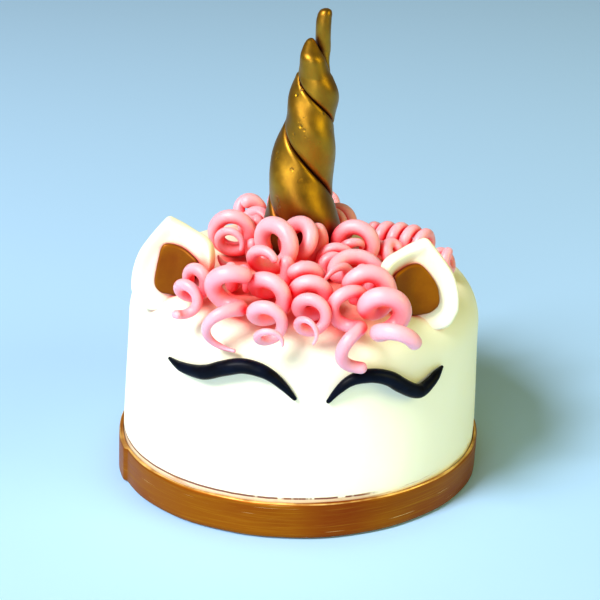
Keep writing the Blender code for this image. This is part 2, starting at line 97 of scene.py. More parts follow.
STRAND_ENDS = {
    "long": {"side": 1.0, "level": (172.0, 182.0, 185.0, 189.0, 192.0, 197.0, 199.5, 200.6, 201.0),
             "x": (3.0, 2.8, 2.7, 2.5, 2.4, 2.5, 2.9, 3.1, 3.2),
             "y": (10.0, 7.9, 6.9, 5.8, 5.2, 5.0, 5.0, 5.0, 5.0),
             "radius": (3.5, 3.3, 3.3, 3.2, 3.2, 3.1, 2.7, 1.9, 1.0)},
    "short": {"side": -1.0, "level": (172.0, 178.0, 181.5, 184.5, 187.0, 188.3, 188.7),
              "x": (-1.0, -1.5, -2.0, -2.6, -2.7, -2.6, -2.5),
              "y": (-1.5, -0.7, 0.0, 1.6, 3.0, 3.5, 3.6),
              "radius": (6.2, 5.9, 5.1, 3.6, 2.3, 1.3, 0.7)},
}

# Ears: outline in the ear's own plane, outward and up from the foot of the ear.
# Each folds forward on both sides of a crease and bows back with height, and a
# lip rises along its rim. The rim's width and the lip's reach are shares of the
# way from the edge to the middle. An ear has its foot, its side, the angles that
# it turns outward and leans back by, and its gold leaf's outline.
EAR_OUTLINE = ((8.5, -7.0), (13.8, -0.5), (14.5, 5.0), (13.8, 11.0), (12.0, 16.8), (9.3, 21.5),
               (6.0, 26.2), (3.0, 30.1), (1.4, 31.7), (0.0, 31.3), (-7.8, 27.9), (-16.4, 24.8),
               (-19.5, 20.0), (-19.3, 12.0), (-14.5, 3.0), (-9.0, -7.0))
EAR_THICKNESS = 5.6
EAR_RIM = 0.10
EAR_LIP = 1.1
EAR_LIP_REACH = 0.36
EAR_FOLD = 0.30
EAR_FOLD_AT = -5.5
EAR_FOLD_SOFT = 2.0
EAR_BOW = 0.6
EAR_BOW_HEIGHT = 30.0
EAR_SIDES = 96
INNER_EAR_THICKNESS = 1.8
INNER_EAR_GAP = 0.4
INNER_EAR_SIDES = 84
EARS = {
    "left": {
        "foot": (-58.0, -31.0, 88.0), "side": -1.0, "facing": -18.0, "back": 4.0,
        "leaf": ((-0.8, 0.6), (2.0, 1.2), (4.1, 3.4), (4.6, 6.2), (4.2, 10.0), (3.4, 15.0),
                 (2.5, 19.6), (0.4, 21.4), (-5.0, 20.6), (-10.4, 18.0), (-13.6, 15.2),
                 (-13.0, 9.0), (-6.5, 0.8))},
    "right": {
        "foot": (44.0, -47.5, 88.0), "side": 1.0, "facing": 20.0, "back": 4.0,
        "leaf": ((-0.3, 0.5), (2.8, 1.6), (5.2, 4.2), (5.4, 8.2), (4.0, 13.4), (0.8, 18.4),
                 (-2.6, 21.7), (-6.4, 21.9), (-10.9, 20.5), (-14.8, 17.6), (-13.5, 9.0),
                 (-7.0, 0.8))},
}

# Lashes: angle from the middle of the face and height, from the inner end out
LASHES = {
    "left": ((-5.0, 61.7), (-8.5, 67.1), (-12.3, 71.3), (-16.4, 73.4), (-21.2, 73.7),
             (-26.7, 71.3), (-31.5, 68.4), (-36.1, 67.2), (-41.9, 66.9), (-47.4, 67.6)),
    "right": ((4.9, 60.6), (7.4, 65.3), (10.2, 69.0), (13.6, 70.9), (18.0, 71.1), (22.8, 69.0),
              (26.9, 65.1), (31.0, 61.8), (34.2, 60.8), (38.0, 62.8), (41.4, 65.4), (44.3, 66.7)),
}
# Share of a lash's length and its radius there
LASH_RADII = ((0.0, 0.9), (0.12, 1.9), (0.30, 2.8), (0.5, 3.25), (0.7, 3.0), (0.88, 2.0),
              (1.0, 0.7))
LASH_RINGS = 120
LASH_SIDES = 24

# Rolled curls that the face side shows. Each is a rope wound round a bent path:
# the path's start, middle and end, the coil's radius along it, the angle at
# which the coil starts, its turns, and the rope's radius along it.
FRONT_CURLS = {
    "curl_spiral_left": {
        "path": ((-31.5, 0.0, 106.0), (-31.5, -4.0, 105.5), (-33.0, -14.5, 103.0)),
        "coil": (10.0, 7.0, 4.5), "start": -70.0, "turns": -2.1, "rope": (3.2, 3.5, 1.0)},
    "curl_front_of_horn": {
        "path": ((-13.0, -25.0, 108.0), (-19.0, -32.5, 110.0), (-18.5, -50.5, 107.0)),
        "coil": (8.5, 8.5, 4.0), "start": 105.0, "turns": -1.4, "rope": (3.4, 4.3, 1.6)},
    "curl_front_of_horn_right": {
        "path": ((-3.0, -17.5, 107.5), (-2.0, -19.5, 107.0), (-6.5, -22.5, 108.5)),
        "coil": (7.5, 9.0, 6.0), "start": -60.0, "turns": -1.25, "rope": (3.4, 3.7, 3.1)},
    "curl_by_left_ear": {
        "path": ((-46.0, -44.0, 98.5), (-49.5, -51.5, 99.5), (-51.5, -68.0, 90.5)),
        "coil": (4.5, 5.5, 3.0), "start": 100.0, "turns": -2.15, "rope": (2.5, 2.8, 1.6)},
    "curl_brow_left": {
        "path": ((-32.7, -58.1, 105.6), (-36.7, -65.1, 97.1), (-35.2, -77.1, 83.1)),
        "coil": (6.5, 5.5, 7.5), "start": -70.0, "turns": 1.8, "rope": (3.3, 4.3, 0.7)},
    "curl_brow_middle_left": {
        "path": ((-16.0, -46.5, 104.9), (-20.5, -77.0, 94.9), (-17.0, -91.0, 89.4)),
        "coil": (6.0, 6.5, 4.0), "start": -60.0, "turns": -3.1, "rope": (3.1, 3.9, 0.6)},
    "curl_brow_middle": {
        "path": ((-4.7, -52.5, 104.0), (2.8, -65.5, 98.0), (-4.7, -90.0, 92.5)),
        "coil": (5.0, 7.0, 4.0), "start": 57.0, "turns": -3.5, "rope": (3.1, 3.9, 0.6)},
    "curl_right_of_middle": {
        "path": ((10.3, -22.1, 100.5), (9.3, -26.6, 100.0), (9.3, -29.6, 100.0)),
        "coil": (7.0, 2.5, 4.5), "start": -60.0, "turns": 1.5, "rope": (2.4, 2.6, 2.5)},
    "curl_right_of_horn": {
        "path": ((19.5, -12.5, 104.5), (18.5, -16.0, 105.5), (20.0, -17.5, 104.0)),
        "coil": (7.5, 9.0, 2.0), "start": 95.0, "turns": -1.45, "rope": (3.2, 3.9, 1.0)},
    "curl_above_brow_right": {
        "path": ((22.5, -32.5, 97.5), (7.0, -44.0, 112.5), (8.0, -54.5, 102.0)),
        "coil": (6.5, 4.0, 5.5), "start": -45.0, "turns": 1.25, "rope": (3.2, 3.7, 0.8)},
    "curl_brow_right": {
        "path": ((20.0, -61.0, 103.0), (27.5, -78.0, 105.0), (31.0, -90.5, 90.0)),
        "coil": (7.0, 5.0, 6.5), "start": 70.0, "turns": -2.35, "rope": (3.6, 4.4, 3.0)},
    "curl_brow_long": {
        "path": ((14.3, -62.0, 103.3), (8.3, -77.5, 96.8), (17.3, -87.5, 79.8)),
        "coil": (6.0, 4.5, 5.5), "start": -170.0, "turns": 2.1, "rope": (2.5, 3.0, 2.4)},
    "curl_behind_horn_right": {
        "path": ((15.5, 25.5, 102.5), (14.0, 20.0, 103.0), (11.5, 16.0, 103.5)),
        "coil": (6.0, 6.0, 5.0), "start": 85.0, "turns": -1.45, "rope": (3.0, 3.0, 2.4)},
    "curl_behind_horn_left": {
        "path": ((-20.5, 23.5, 100.5), (-22.5, 18.5, 102.0), (-23.5, 10.5, 101.5)),
        "coil": (5.5, 5.5, 4.0), "start": 105.0, "turns": -1.4, "rope": (3.1, 3.1, 2.2)},
    "curl_back_right_long": {
        "path": ((29.5, 12.0, 100.5), (41.5, 5.5, 102.0), (51.5, 0.0, 101.0)),
        "coil": (4.0, 6.0, 5.0), "start": -10.0, "turns": -4.25, "rope": (2.7, 2.7, 2.3)},
    "curl_by_right_ear": {
        "path": ((29.5, -7.0, 96.5), (35.5, -10.0, 101.5), (36.5, -11.0, 102.5)),
        "coil": (5.0, 4.8, 2.5), "start": 35.0, "turns": -1.3, "rope": (3.1, 3.2, 2.2)},
    "curl_behind_right_ear": {
        "path": ((57.0, -11.5, 97.5), (57.5, -12.5, 98.0), (61.0, -14.5, 100.0)),
        "coil": (4.0, 4.5, 4.0), "start": 20.0, "turns": -1.0, "rope": (2.4, 2.5, 2.1)},
    "curl_tip_left": {
        "path": ((-36.5, -29.3, 104.4), (-34.5, -32.3, 101.9), (-32.0, -36.3, 96.4)),
        "coil": (2.0, 3.0, 3.0), "start": 120.0, "turns": 0.45, "rope": (0.5, 2.0, 2.8)},
}

# Finish of every rope: angles of the rings on its dome ends, the curls' rings in
# one turn, which are also their fewest, and their sides
DOME_ANGLES = (15.0, 30.0, 45.0, 60.0, 75.0)
CURL_RINGS = 40
CURL_SIDES = 18

# Curls that the face side hides, by where each lies: low ones between the front
# curls, ones on the back of the top, and ones that hang down the back wall. Each
# kind has one coil and one rope.
LOW_CURL_LEVELS = (100.5, 99.5, 98.5)
LOW_CURL_REACH = 4.0
LOW_CURL_COIL = (3.8, 3.8, 3.8)
LOW_CURL_ROPE = (2.5, 2.5, 1.9)
LOW_CURLS = {
    "curl_under_brow_left": {"x": -30.0, "y": -44.0, "heading": 0.0, "start": 20.0, "turns": 1.3},
    "curl_under_middle": {"x": -5.5, "y": -38.0, "heading": 0.0, "start": 98.0, "turns": 1.15},
    "curl_under_brow_right": {"x": 23.0, "y": -43.5, "heading": 0.0, "start": 3.0, "turns": -1.3},
    "curl_under_spiral": {"x": -20.5, "y": -14.0, "heading": 20.0, "start": -30.0, "turns": -1.2},
}
BACK_CURL_LEVELS = (102.0, 101.5, 101.0)
BACK_CURL_STEPS = (0.0, 8.0, 17.0)
BACK_CURL_COIL = (5.0, 4.8, 4.2)
BACK_CURL_ROPE = (3.0, 3.0, 1.5)
BACK_CURLS = {
    "curl_back_1": {"x": -8.5, "y": 29.0, "drop": 1.5, "start": 85.0, "turns": 1.8},
    "curl_back_2": {"x": 8.0, "y": 31.0, "drop": 1.5, "start": -55.0, "turns": -2.0},
    "curl_back_3": {"x": -24.5, "y": 37.0, "drop": 1.5, "start": -15.0, "turns": 2.0},
    "curl_back_4": {"x": -8.5, "y": 55.5, "drop": 9.0, "start": 15.0, "turns": 2.0},
    "curl_back_5": {"x": 10.5, "y": 55.5, "drop": 9.0, "start": -45.0, "turns": -1.9},
}
HANGING_CURL_REACHES = (86.0, 88.5, 85.0)
HANGING_CURL_STEP = 15.0
HANGING_CURL_COIL = (6.3, 6.0, 4.0)
HANGING_CURL_ROPE = (3.2, 3.3, 0.8)
HANGING_CURLS = {
    "curl_hanging_back_1": {"angle": 175.0, "top": 76.0, "sway": 8.0, "start": 15.0, "turns": 3.0},
    "curl_hanging_back_2": {"angle": 161.0, "top": 78.0, "sway": -9.0, "start": 95.0, "turns": -3.0},
    "curl_hanging_back_3": {"angle": 140.0, "top": 74.0, "sway": 7.0, "start": 5.0, "turns": 2.5},
    "curl_hanging_back_4": {"angle": 194.0, "top": 78.0, "sway": 9.0, "start": 90.0, "turns": -3.0},
    "curl_hanging_back_5": {"angle": 211.0, "top": 72.0, "sway": 8.0, "start": -10.0, "turns": 2.3},
}

# Camera, at the photograph's angle
CAMERA_DISTANCE = 699.7
CAMERA_ELEVATION = 20.56
CAMERA_AZIMUTH = -2.5
CAMERA_ROLL = 0.41
CAMERA_AIM_RIGHT = 0.95
CAMERA_AIM_HEIGHT = 74.27
CAMERA_LENS = 96.0
CAMERA_SENSOR = 36.0

# Colours of the finishes, as linear red, green and blue
IVORY = ((0.95, 0.92, 0.70), (0.97, 0.95, 0.76))
IVORY_IN_SHADE = (0.72, 0.45, 0.34)
IVORY_LIT_BY_CURLS = (0.84, 0.06, 0.06)
# Painted shade, tan, just above the band's top edge
TAN_SHADE_ABOVE_BAND = (0.52, 0.24, 0.10)
SMUDGE_RED = (0.16, 0.028, 0.012)
DUST_ON_IVORY = (0.42, 0.17, 0.04)
BAND_BROWN = (0.30, 0.082, 0.001)
BAND_RED_BROWN = (0.23, 0.042, 0.001)
BAND_RED = (0.20, 0.018, 0.001)
BAND_STREAK = (0.52, 0.24, 0.012)
BAND_SCRATCH = (0.90, 0.60, 0.22)
# Painted highlight on the band's top edge
BAND_EDGE_HIGHLIGHT = (0.95, 0.60, 0.18)
HORN_GOLD = ((0.24, 0.108, 0.003), (0.42, 0.225, 0.010))
# Painted red reflection of the curls, and painted shade in the horn's folds
HORN_CURL_REFLECTION = (0.20, 0.022, 0.002)
HORN_FOLD_SHADE = (0.07, 0.012, 0.001)
LEAF_GOLD = ((0.22, 0.058, 0.0005), (0.30, 0.100, 0.0005))
LEAF_IN_SHADE = (0.10, 0.008, 0.001)
BLACK = ((0.0012, 0.0016, 0.004), (0.002, 0.004, 0.013))
PINK = ((0.98, 0.37, 0.45), (0.99, 0.45, 0.53))
# Painted deep red shade between and inside the coils
PINK_SHADE_BETWEEN_COILS = (0.92, 0.006, 0.018)
PALE_BLUE = (0.39, 0.64, 0.98)

# Soft lights: where each comes from in degrees, its size in metres, watts, colour
LIGHT_DISTANCE = 3.0
LIGHT_AIM = (0.0, 0.0, 0.09)
LIGHTS = {
    "key": {"azimuth": -48.0, "elevation": 44.0, "size": 1.1, "power": 130.0,
            "colour": (1.0, 0.99, 0.97)},
    "fill_right": {"azimuth": 62.0, "elevation": 24.0, "size": 1.8, "power": 34.0,
                   "colour": (1.0, 0.95, 0.16)},
    "front": {"azimuth": -20.0, "elevation": 14.0, "size": 1.4, "power": 24.0,
              "colour": (1.0, 1.0, 1.0)},
}
WORLD_COLOUR = (1.0, 0.96, 0.70, 1.0)
WORLD_STRENGTH = 0.20
FLOOR_REACH = 6.0


def lean(points):
    """The whole cake leans a little to one side and its top tilts with it."""
    points = np.asarray(points, float)
    x, y, z = points[..., 0], points[..., 1], points[..., 2]
    share = np.clip(z / CAKE_HEIGHT, 0.0, 1.3)
    return np.stack([x + LEAN_SIDEWAYS * z, y, z - TOP_TILT * x * share], -1)


def wall_radius(z):
    """Radius of the cake's wall, and of its rounded top edge, at a height."""
    z = np.asarray(z, float)
    levels = (0.0, UPRIGHT_LEVEL, MIDDLE_LEVEL, EDGE_LEVEL)
    radii = (WALL_RADIUS_FOOT, WALL_RADIUS_FOOT, WALL_RADIUS_MIDDLE, WALL_RADIUS_TOP)
    side = np.interp(z, levels, radii)
    rise = np.clip(z - EDGE_LEVEL, 0.0, EDGE_RADIUS)
    arc = WALL_RADIUS_TOP - EDGE_RADIUS + np.sqrt(EDGE_RADIUS ** 2 - rise ** 2)
    return np.where(z > EDGE_LEVEL, arc, side)


def catmull_rom(a, b, c, d, t):
    """Point at a share t of the way from b to c, on a smooth curve through a, b, c and d."""
    return 0.5 * (2 * b + (c - a) * t + (2 * a - 5 * b + 4 * c - d) * t ** 2
                  + (3 * b - 3 * c + d - a) * t ** 3)


def smooth_curve(knots, count):
    """Points along an open smooth curve through the knots."""
    knots = np.asarray(knots, float)
    ends = np.vstack([2 * knots[0] - knots[1], knots, 2 * knots[-1] - knots[-2]])
    spans = len(knots) - 1
    place = np.linspace(0.0, spans, count)
    span = np.minimum(place.astype(int), spans - 1)
    t = (place - span)[:, None]
    return catmull_rom(*(ends[span + k] for k in range(4)), t)


def lumps(points, size, depth):
    """Smooth uneven distance at each point: hills about size apart, up to depth high."""
    return np.array([noise.noise(Vector(p) / size) for p in points]) * depth


def skin(rings, start=None, end=None):
    """Points and faces over a stack of rings; a pole or the ring's middle closes each end."""
    count = len(rings[0])
    points = [point for ring in rings for point in ring]
    faces = []
    for k in range(len(rings) - 1):
        a, b = k * count, (k + 1) * count
        for i in range(count):
            j = (i + 1) % count
            faces.append((a + i, a + j, b + j, b + i))
    last = (len(rings) - 1) * count
    points.append(np.mean(rings[0], axis=0) if start is None else start)
    points.append(np.mean(rings[-1], axis=0) if end is None else end)
    for i in range(count):
        j = (i + 1) % count
        faces.append((j, i, len(points) - 2))
        faces.append((last + i, last + j, len(points) - 1))
    return np.array(points), faces


def piece(name, points, faces, look, stands_for):
    """A smooth piece in place of a CAD node, with its material."""
    mesh = bpy.data.meshes.new(name)
    mesh.from_pydata((lean(points) * MM).tolist(), [], faces)
    mesh.validate()
    if flips(mesh):
        mesh.flip_normals()
    mesh.shade_smooth()
    mesh.materials.append(look)
    made = bpy.data.objects.new(name, mesh)
    bpy.context.scene.collection.objects.link(made)
    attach(made, "root")
    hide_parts(stands_for)
    return made


def flips(mesh):
    """True where the closed mesh's faces point inward."""
    volume = 0.0
    for face in mesh.polygons:
        volume += face.center.dot(face.normal) * face.area
    return volume < 0.0


def rope(centres, radii, sides):
    """Round rope along a curve with dome ends; its section turns with the curve."""
    centres = np.asarray(centres, float)
    along = np.gradient(centres, axis=0)
    along /= np.linalg.norm(along, axis=1)[:, None]
    side = np.cross(along[0], (0.0, 0.0, 1.0))
    if np.linalg.norm(side) < 0.1:
        side = np.cross(along[0], (0.0, 1.0, 0.0))
    angles = np.linspace(0.0, 2 * math.pi, sides, endpoint=False)
    circles = []
    for direction in along:
        side = side - (side @ direction) * direction
        side /= np.linalg.norm(side)
        other = np.cross(direction, side)
        circles.append(np.outer(np.cos(angles), side) + np.outer(np.sin(angles), other))
    lifts = np.sin(np.radians(DOME_ANGLES))
    rings = []
    for lift in lifts[::-1]:
        width = math.sqrt(1 - lift ** 2)
        rings.append(centres[0] + radii[0] * (circles[0] * width - along[0] * lift))
    rings += [c + circle * r for c, circle, r in zip(centres, circles, radii)]
    for lift in lifts:
        width = math.sqrt(1 - lift ** 2)
        rings.append(centres[-1] + radii[-1] * (circles[-1] * width + along[-1] * lift))
    return skin(rings, centres[0] - along[0] * radii[0], centres[-1] + along[-1] * radii[-1])


def blend(values, t):
    """Quadratic blend of a start, a middle and an end value."""
    values = np.asarray(values, float)
    if values.ndim > 1:
        t = t[:, None]
    return (1 - t) ** 2 * values[0] + 2 * t * (1 - t) * values[1] + t ** 2 * values[2]


def coil(path, ring, start, turns, count):
    """Centreline wound round a bent path; ring holds its radius along the path."""
    t = np.linspace(0.0, 1.0, count)
    path = np.asarray(path, float)
    axis = blend(path, t)
    along = 2 * (1 - t)[:, None] * (path[1] - path[0]) + 2 * t[:, None] * (path[2] - path[1])
    along /= np.linalg.norm(along, axis=1)[:, None]
    up = np.array((0.0, 0.0, 1.0)) - along[:, 2:] * along
    up /= np.linalg.norm(up, axis=1)[:, None]
    side = np.cross(along, up)
    angle = math.radians(start) + 2 * math.pi * turns * t
    reach = blend(ring, t)[:, None]
    return axis + reach * (np.cos(angle)[:, None] * up + np.sin(angle)[:, None] * side)


def between(z, levels, values):
    """Smooth value at a height, from values given at some levels."""
    slopes = np.gradient(np.array(values), np.array(levels))
    k = int(np.clip(np.searchsorted(levels, z) - 1, 0, len(levels) - 2))
    step = levels[k + 1] - levels[k]
    t = float(np.clip((z - levels[k]) / step, 0.0, 1.0))
    rise = values[k] + (values[k + 1] - values[k]) * t * t * (3 - 2 * t)
    return rise + step * t * (1 - t) * (slopes[k] * (1 - t) - slopes[k + 1] * t)


def strand_section(width, cut, sides):
    """Outline of a strand: an oval cut by a plane at a distance from the horn's axis."""
    middle = (cut + width) / 2
    angles = np.linspace(0.0, 2 * math.pi, sides, endpoint=False)
    ahead, across = np.cos(angles), np.sin(angles)
    bend = (ahead / width) ** 2 + (across / (HORN_OVAL * width)) ** 2
    slope = middle * ahead / width ** 2
    to_oval = (np.sqrt(slope ** 2 + bend * (1 - (middle / width) ** 2)) - slope) / bend
    to_cut = (middle - cut) / np.maximum(-ahead, 1e-6)
    reach = (to_oval ** -HORN_ROUNDING + to_cut ** -HORN_ROUNDING) ** (-1 / HORN_ROUNDING)
    return middle + reach * ahead, reach * across


def horn_strand(which, levels, sides):
    """Rings of one strand: half an oval that turns with height, and round at its end."""
    end = STRAND_ENDS[which]
    angles = np.linspace(0.0, 2 * math.pi, sides, endpoint=False)
    rings = []
    for z in levels:
        width = between(z, HORN_LEVELS, HORN_RADII)
        centre = between(z, HORN_LEVELS, HORN_CENTRES)
        turn = math.radians(between(z, TWIST_LEVELS, TWIST_DEGREES) - 90.0)
        ahead = np.array((math.cos(turn), math.sin(turn))) * end["side"]
        across = np.array((-ahead[1], ahead[0]))
        reach, wide = strand_section(width, HORN_SPLIT / 2, sides)
        half = np.array((centre, HORN_Y)) + np.outer(reach, ahead) + np.outer(wide, across)
        x, y, radius = (between(z, end["level"], end[key]) for key in ("x", "y", "radius"))
        circle = np.outer(np.cos(angles), ahead) + np.outer(np.sin(angles), across)
        share = between(z, (ROUND_FROM, ROUND_TO), (0.0, 1.0))
        spots = (1 - share) * half + share * (np.array((x, y)) + radius * circle)
        rings.append(np.column_stack([spots, np.full(sides, z)]))
    return rings


def closed_curve(knots, count):
    """Evenly spread points round a closed smooth curve through flat knots."""
    knots = np.asarray(knots, float)
    between_knots = 12
    t = np.linspace(0.0, 1.0, between_knots, endpoint=False)[:, None]
    dense = []
    for k in range(len(knots)):
        near = (knots[(k + step) % len(knots)] for step in range(4))
        dense.append(catmull_rom(*near, t))
    dense = np.concatenate(dense + [dense[0][:1]])
    steps = np.concatenate([[0.0], np.cumsum(np.linalg.norm(np.diff(dense, axis=0), axis=1))])
    places = np.linspace(0.0, steps[-1], count, endpoint=False)
    return np.stack([np.interp(places, steps, dense[:, k]) for k in (0, 1)], -1)


def ear_point(ear, a, b, n):
    """Place a point a out, b up and n forward in the ear's own plane, folded and bowed."""
    turn, tilt = math.radians(ear["facing"]), math.radians(ear["back"])
    fold = math.hypot(a - EAR_FOLD_AT, EAR_FOLD_SOFT) - EAR_FOLD_SOFT
    n = n + EAR_FOLD * fold - EAR_BOW * abs(b / EAR_BOW_HEIGHT)
    front = np.array((math.sin(turn), -math.cos(turn), 0.0))
    across = np.array((math.cos(turn), math.sin(turn), 0.0)) * ear["side"]
    up = np.array((0.0, 0.0, 1.0))
    raised = up * math.cos(tilt) - front * math.sin(tilt)
    facing_out = front * math.cos(tilt) + up * math.sin(tilt)
    return np.array(ear["foot"]) + across * a + raised * b + facing_out * n


def ear_lip(inset):
    """How far the ear's front rises toward its rim."""
    t = np.clip((EAR_LIP_REACH - inset) / (EAR_LIP_REACH - EAR_RIM), 0.0, 1.0)
    return EAR_LIP * t * t * (3 - 2 * t)


def ear_rings(ear, outline, steps):
    """Rings of an ear and their middle; steps holds how far in each ring lies and its depth."""
    middle = np.array((EAR_FOLD_AT, outline[:, 1].mean()))
    rings = []
    for inset, depth in steps:
        flat = middle + (outline - middle) * (1.0 - inset)
        rings.append(np.array([ear_point(ear, a, b, depth) for a, b in flat]))
    return rings, middle


def cake_body(look):
    """Fondant cover: wall, rounded edge and top, a little uneven as rolled by hand."""
    profile = [(r, 0.0) for r in (20.0, 55.0, WALL_RADIUS_FOOT - 1.0)]
    profile += [(float(wall_radius(z)), float(z)) for z in np.linspace(0.4, EDGE_LEVEL, 34)]
    for angle in np.radians(np.linspace(3.0, 90.0, 30)):
        reach = WALL_RADIUS_TOP - EDGE_RADIUS + EDGE_RADIUS * math.cos(angle)
        profile.append((reach, EDGE_LEVEL + EDGE_RADIUS * math.sin(angle)))
    profile += [(r, CAKE_HEIGHT) for r in np.linspace(48.0, 4.0, 12)]
    around = np.linspace(0.0, 2 * math.pi, CAKE_SIDES, endpoint=False)
    rings = [np.stack([r * np.cos(around), r * np.sin(around), np.full(CAKE_SIDES, z)], -1)
             for r, z in profile]
    points, faces = skin(rings)
    above_band = points[:, 2] > BAND_HEIGHT
    outward = points * (1.0, 1.0, 0.0)
    outward /= np.maximum(np.linalg.norm(outward, axis=1), 1.0)[:, None]
    points = points + outward * (lumps(points, LUMP_SIZE, LUMP_DEPTH) * above_band)[:, None]
    piece("cake_cover", points, faces, look, "cake")


def waves(table, angle):
    """Height at an angle round the cake of waves, each a height, a count and a phase."""
    return sum(height * math.sin(count * angle + phase) for height, count, phase in table)


def band_section(angle, inner, outer, top):
    """Outline of the band at one angle, from its inner foot round to its inner top."""
    foot = BAND_FLOOR_CLEARANCE
    outline = [(inner, foot), (outer - 0.5, foot), (outer, foot + 0.5)]
    outline += [(outer, z) for z in np.linspace(foot + 2.0, top - 1.2, 6)]
    outline += [(outer - 0.12, top - 0.55), (outer - 0.5, top - 0.15), (outer - 1.0, top),
                (inner + 0.3, top - 0.1), (inner, top - 0.4)]
    return np.array([(r * math.sin(angle), -r * math.cos(angle), z) for r, z in outline])


def band(look):
    """Fondant strip laid round the foot; its end laps over its start at the seam."""
    inner = WALL_RADIUS_FOOT + GAP
    rings = []
    for degrees in np.arange(0.0, 360.0, 1.0) + BAND_SEAM:
        angle = math.radians(degrees)
        since_seam = (degrees - BAND_SEAM) % 360.0
        lap = BAND_LAP * np.clip((since_seam - BAND_LAP_FROM) / BAND_LAP_RISE, 0.0, 1.0)
        outer = inner + BAND_THICKNESS - BAND_LAP + lap + waves(BAND_FACE_WAVES, angle)
        top = BAND_HEIGHT - BAND_TOP_ROOM + waves(BAND_TOP_WAVES, angle)
        rings.append(band_section(angle, inner, outer, top))
    count = len(rings[0])
    points = np.concatenate(rings)
    faces = []
    for i in range(len(rings)):
        j = (i + 1) % len(rings)
        for k in range(count):
            m = (k + 1) % count
            faces.append((i * count + k, j * count + k, j * count + m, i * count + m))
    piece("band_strip", points, faces, look, "gold_band")


def lashes(look):
    """Closed-eye lashes: a thin rolled line that swells in the middle."""
    for side, knots in LASHES.items():
        degrees, level = smooth_curve(knots, LASH_RINGS).T
        radii = np.interp(np.linspace(0.0, 1.0, LASH_RINGS), *zip(*LASH_RADII))
        angle = np.radians(degrees)
        reach = wall_radius(level) + radii + GAP
        line = np.stack([reach * np.sin(angle), -reach * np.cos(angle), level], -1)
        points, faces = rope(line, radii, LASH_SIDES)
        piece("lash_line_" + side, points, faces, look, "lash_" + side)


def ear_shell_steps():
    """Way from the middle of the ear's back round its rim and over the lip to the front's."""
    half = EAR_THICKNESS / 2
    steps = [(inset, -half) for inset in (0.85, 0.6, 0.4, 0.25)]
    for angle in np.radians(np.linspace(-90.0, 90.0, 17)):
        reach = half + (EAR_LIP if angle > 0.0 else 0.0)
        steps.append((EAR_RIM * (1.0 - math.cos(angle)), reach * math.sin(angle)))
    steps += [(inset, half + ear_lip(inset)) for inset in np.linspace(0.15, EAR_LIP_REACH, 8)]
    steps += [(inset, half) for inset in (0.4, 0.5, 0.6, 0.85)]
    return steps


def ear_leaf_steps(low, high):
    """Way over a leaf that lies between two depths: its back, its rounded rim, its front."""
    steps = [(0.5, low), (0.02, low), (0.0, low + 0.4), (0.0, high - 0.8)]
    steps += [(0.015, high - 0.45), (0.045, high - 0.15), (0.09, high)]
    steps += [(inset, high) for inset in np.linspace(0.15, 0.95, 14)]
    return steps


def ears(white, gold):
    """White ears folded along a crease, with a raised lip and a gold leaf laid in each."""
    outline = closed_curve(EAR_OUTLINE, EAR_SIDES)
    half = EAR_THICKNESS / 2
    low = half + INNER_EAR_GAP
    high = low + INNER_EAR_THICKNESS
    for side, ear in EARS.items():
        rings, middle = ear_rings(ear, outline, ear_shell_steps())
        points, faces = skin(rings, ear_point(ear, *middle, -half), ear_point(ear, *middle, half))
        piece("ear_shell_" + side, points, faces, white, "ear_" + side)
        leaf = closed_curve(ear["leaf"], INNER_EAR_SIDES)
        rings, middle = ear_rings(ear, leaf, ear_leaf_steps(low, high))
        points, faces = skin(rings, ear_point(ear, *middle, low), ear_point(ear, *middle, high))
        piece("ear_leaf_" + side, points, faces, gold, "inner_ear_" + side)


def horn(look):
    """Two long cones of fondant twisted round each other."""
    for which, end in STRAND_ENDS.items():
        levels = np.linspace(CAKE_HEIGHT + GAP, end["level"][-1], HORN_RINGS)
        points, faces = skin(horn_strand(which, levels, HORN_SIDES))
        piece("horn_cone_" + which, points, faces, look, "horn_strand_" + which)


def low_curl(x, y, heading, start, turns):
    """Short curl across the top, low between the front curls."""
    turned = math.radians(heading)
    ahead, aside = LOW_CURL_REACH * math.cos(turned), LOW_CURL_REACH * math.sin(turned)
    path = [(x + step * ahead, y + step * aside, level)
            for step, level in zip((-1.0, 0.0, 1.0), LOW_CURL_LEVELS)]
    return {"path": path, "coil": LOW_CURL_COIL, "start": start, "turns": turns,
            "rope": LOW_CURL_ROPE}


def back_curl(x, y, drop, start, turns):
    """Curl that runs backward over the top and comes down by drop at its end."""
    path = [(x, y + step, level - share * drop)
            for step, level, share in zip(BACK_CURL_STEPS, BACK_CURL_LEVELS, (0.0, 0.2, 1.0))]
    return {"path": path, "coil": BACK_CURL_COIL, "start": start, "turns": turns,
            "rope": BACK_CURL_ROPE}


def hanging_curl(angle, top, sway, start, turns):
    """Curl that hangs down the wall at an angle round the cake and swings sideways by sway."""
    path = []
    for step, reach in enumerate(HANGING_CURL_REACHES):
        around = math.radians(angle + sway * step / 2)
        height = top - HANGING_CURL_STEP * step
        path.append((reach * math.sin(around), -reach * math.cos(around), height))
    return {"path": path, "coil": HANGING_CURL_COIL, "start": start, "turns": turns,
            "rope": HANGING_CURL_ROPE}


def all_curls():
    """Every curl of the mane by name."""
    found = dict(FRONT_CURLS)
    found.update((name, low_curl(**place)) for name, place in LOW_CURLS.items())
    found.update((name, back_curl(**place)) for name, place in BACK_CURLS.items())
    found.update((name, hanging_curl(**place)) for name, place in HANGING_CURLS.items())
    return found


def curls(look):
    """Rolled ropes of pink fondant wound into loose coils."""
    for name, curl in all_curls().items():
        count = max(CURL_RINGS, int(round(abs(curl["turns"]) * CURL_RINGS)))
        line = coil(curl["path"], curl["coil"], curl["start"], curl["turns"], count)
        radii = blend(curl["rope"], np.linspace(0.0, 1.0, count))
        points, faces = rope(line, radii, CURL_SIDES)
        piece("rolled_" + name, points, faces, look, name)


